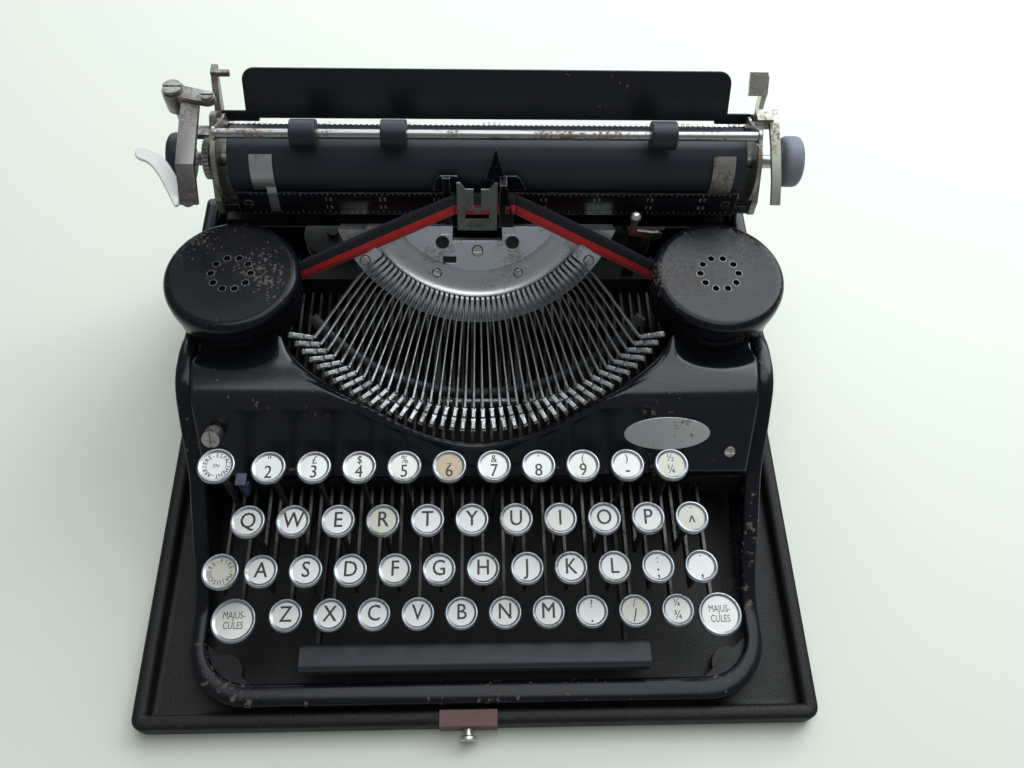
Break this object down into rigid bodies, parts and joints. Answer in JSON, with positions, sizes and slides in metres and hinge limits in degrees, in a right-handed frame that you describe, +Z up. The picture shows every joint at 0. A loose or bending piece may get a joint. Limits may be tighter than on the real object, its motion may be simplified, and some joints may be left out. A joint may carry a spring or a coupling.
{
  "type": "portable typewriter",
  "caption": "Old four-bank portable typewriter in black enamel on its leatherette base board, with round keys, open type basket, lidded ribbon spools and a sliding carriage.",
  "frame": {"origin": "on the resting face, under the middle of the base board, with the typing point on X = 0", "axes": "+Z up, +X to the typist's right along the platen, +Y to the back of the machine"},
  "size_m": [0.3096, 0.3061, 0.1453],
  "materials": {
    "leatherette": "worn",
    "rust_brown": "rusted",
    "steel": "tarnished",
    "nickel": "aged",
    "enamel": "gloss",
    "dark_iron": "satin",
    "rubber": "worn",
    "ribbon": "inked",
    "blue_paint": "satin",
    "cream": "worn",
    "brass": "aged"
  },
  "bodies": {
    "machine": {"base_board": "leatherette", "latch_plate": "rust_brown", "rubber_feet": "rubber", "main_frame": "enamel", "cross_beams": "dark_iron", "front_cover": "enamel", "blank_oval": "steel", "slotted_screws": "steel", "spool_cups": "enamel", "free_ribbon": "ribbon", "card_holder": "enamel", "segment": "steel", "hub_plate": "steel", "fulcrum_wire": "steel", "typebars": "steel", "typebar_rest": "dark_iron", "pivot_rods": "steel", "lever_combs": "dark_iron", "bell": "brass"},
    "latch": {"latch_button": "steel"},
    "selector": {"selector_knob": "nickel"},
    "lid_left": {"left_lid": "enamel"},
    "lid_right": {"right_lid": "enamel"},
    "reel_left": {"left_spool": "steel", "left_roll": "ribbon"},
    "reel_right": {"right_spool": "steel", "right_roll": "ribbon"},
    "guide": {"vibrator": "steel", "ribbon_centre": "ribbon"},
    "typebar": {"centre_typebar": "steel"},
    "number_row": {"number_keys": "nickel"},
    "upper_row": {"upper_keys": "nickel"},
    "home_row": {"home_keys": "nickel"},
    "lower_row": {"lower_keys": "nickel"},
    "centre_letter": {"centre_key": "nickel"},
    "spacer": {"space_bar": "enamel"},
    "shift": {"shift_keys": "nickel", "shift_shaft": "steel"},
    "shift_lock": {"shift_lock_key": "nickel"},
    "backspace": {"backspace_key": "nickel"},
    "tabulator": {"tab_lever": "blue_paint"},
    "lift": {"shift_frame": "dark_iron"},
    "carriage": {"carriage_bed": "dark_iron", "left_end": "steel", "right_end": "steel", "paper_table": "enamel", "margin_rack": "nickel", "paper_fingers": "steel", "front_scale": "enamel"},
    "cylinder": {"platen": "rubber", "platen_shaft": "steel", "platen_knobs": "rubber"},
    "feed": {"feed_rollers": "rubber"},
    "bail": {"bail_rod": "nickel"},
    "bail_wheels": {"bail_rollers": "rubber"},
    "return": {"line_lever": "nickel", "finger_blade": "cream"},
    "release": {"release_lever": "nickel"},
    "margin": {"margin_release": "nickel"},
    "drum": {"spring_drum": "brass"}
  },
  "joints": [
    {"name": "latch_push", "type": "slide", "parent": "machine", "child": "latch", "axis": [0, 1, 0], "range_m": [0, 0.003], "stiffness_N_per_m": 150},
    {"name": "selector_turn", "type": "hinge", "parent": "machine", "child": "selector", "pos_m": [-0.1185, -0.03092, 0.06572], "axis": [0, -0.7944, 0.6074], "range_deg": [-60, 60]},
    {"name": "left_lid_lift", "type": "slide", "parent": "machine", "child": "lid_left", "axis": [0, 0, 1], "range_m": [0, 0.016]},
    {"name": "right_lid_lift", "type": "slide", "parent": "machine", "child": "lid_right", "axis": [0, 0, 1], "range_m": [0, 0.016]},
    {"name": "left_reel_turn", "type": "hinge", "parent": "machine", "child": "reel_left", "pos_m": [-0.113, 0.0342, 0.084], "axis": [0, 0, 1], "continuous": true},
    {"name": "right_reel_turn", "type": "hinge", "parent": "machine", "child": "reel_right", "pos_m": [0.113, 0.0342, 0.084], "axis": [0, 0, 1], "continuous": true},
    {"name": "number_row_press", "type": "hinge", "parent": "machine", "child": "number_row", "pos_m": [0, 0.095, 0.026], "axis": [1, 0, 0], "range_deg": [0, 2.9], "stiffness_Nm_per_rad": 6, "springref_deg": -11.46},
    {"name": "upper_row_press", "type": "hinge", "parent": "machine", "child": "upper_row", "pos_m": [0, 0.095, 0.026], "axis": [1, 0, 0], "range_deg": [0, 2.9], "stiffness_Nm_per_rad": 6, "springref_deg": -11.46},
    {"name": "home_row_press", "type": "hinge", "parent": "machine", "child": "home_row", "pos_m": [0, 0.095, 0.026], "axis": [1, 0, 0], "range_deg": [0, 2.9], "stiffness_Nm_per_rad": 6, "springref_deg": -11.46},
    {"name": "lower_row_press", "type": "hinge", "parent": "machine", "child": "lower_row", "pos_m": [0, 0.095, 0.026], "axis": [1, 0, 0], "range_deg": [0, 2.9], "stiffness_Nm_per_rad": 6, "springref_deg": -11.46},
    {"name": "centre_letter_press", "type": "hinge", "parent": "machine", "child": "centre_letter", "pos_m": [0, 0.095, 0.026], "axis": [1, 0, 0], "range_deg": [0, 2.9], "stiffness_Nm_per_rad": 0.6, "springref_deg": -11.46},
    {"name": "typebar_swing", "type": "hinge", "parent": "machine", "child": "typebar", "pos_m": [0.00141, 0.0387, 0.06128], "axis": [-0.9998, -0.0126, -0.018], "range_deg": [0, 107]},
    {"name": "ribbon_lift", "type": "slide", "parent": "machine", "child": "guide", "axis": [0, 0.0698, 0.9976], "range_m": [0, 0.006]},
    {"name": "space_press", "type": "hinge", "parent": "machine", "child": "spacer", "pos_m": [0, -0.03, 0.013], "axis": [1, 0, 0], "range_deg": [0, 3.5], "stiffness_Nm_per_rad": 2, "springref_deg": -5.73},
    {"name": "shift_lock_press", "type": "hinge", "parent": "machine", "child": "shift_lock", "pos_m": [0, 0.095, 0.026], "axis": [1, 0, 0], "range_deg": [0, 2.6], "stiffness_Nm_per_rad": 0.6, "springref_deg": -11.46},
    {"name": "backspace_press", "type": "hinge", "parent": "machine", "child": "backspace", "pos_m": [0, 0.095, 0.026], "axis": [1, 0, 0], "range_deg": [0, 2.9], "stiffness_Nm_per_rad": 0.6, "springref_deg": -11.46},
    {"name": "tabulator_press", "type": "hinge", "parent": "machine", "child": "tabulator", "pos_m": [-0.1073, -0.03, 0.041], "axis": [1, 0, 0], "range_deg": [0, 6], "stiffness_Nm_per_rad": 0.2, "springref_deg": -5.73},
    {"name": "shift_lift", "type": "slide", "parent": "machine", "child": "lift", "axis": [0, 0, 1], "range_m": [0, 0.0062]},
    {"name": "shift_press", "type": "hinge", "parent": "machine", "child": "shift", "pos_m": [0, 0.01, 0.017], "axis": [1, 0, 0], "range_deg": [0, 4.81]},
    {"name": "carriage_travel", "type": "slide", "parent": "lift", "child": "carriage", "axis": [1, 0, 0], "range_m": [-0.105, 0.095]},
    {"name": "platen_turn", "type": "hinge", "parent": "carriage", "child": "cylinder", "pos_m": [0.0058, 0.0885, 0.1135], "axis": [1, 0, 0], "continuous": true},
    {"name": "feed_turn", "type": "hinge", "parent": "carriage", "child": "feed", "pos_m": [0.0058, 0.0798, 0.0947], "axis": [1, 0, 0], "continuous": true},
    {"name": "bail_lift", "type": "hinge", "parent": "carriage", "child": "bail", "pos_m": [0.0058, 0.098, 0.128], "axis": [-1, 0, 0], "range_deg": [0, 45]},
    {"name": "bail_wheel_turn", "type": "hinge", "parent": "bail", "child": "bail_wheels", "pos_m": [0.0058, 0.0815, 0.1368], "axis": [1, 0, 0], "continuous": true},
    {"name": "return_swing", "type": "hinge", "parent": "carriage", "child": "return", "pos_m": [-0.137, 0.103, 0.139], "axis": [0, 0, 1], "range_deg": [0, 13]},
    {"name": "release_pull", "type": "hinge", "parent": "carriage", "child": "release", "pos_m": [0.137, 0.103, 0.117], "axis": [1, 0, 0], "range_deg": [0, 15]},
    {"name": "margin_press", "type": "hinge", "parent": "machine", "child": "margin", "pos_m": [0.086, 0.06, 0.094], "axis": [0, 1, 0], "range_deg": [-6, 6]},
    {"name": "drum_turn", "type": "hinge", "parent": "machine", "child": "drum", "pos_m": [-0.075, 0.086, 0.058], "axis": [0, 0, 1], "range_deg": [-340.7, 376.5]}
  ],
  "couplings": [
    {"joint": "right_reel_turn", "follows": "left_reel_turn", "ratio": 1},
    {"joint": "typebar_swing", "follows": "centre_letter_press", "ratio": 36.897},
    {"joint": "ribbon_lift", "follows": "centre_letter_press", "m_per_rad": 0.11854},
    {"joint": "shift_press", "follows": "shift_lift", "rad_per_m": 13.529},
    {"joint": "feed_turn", "follows": "platen_turn", "ratio": -3.4449},
    {"joint": "drum_turn", "follows": "carriage_travel", "rad_per_m": -62.5}
  ]
}
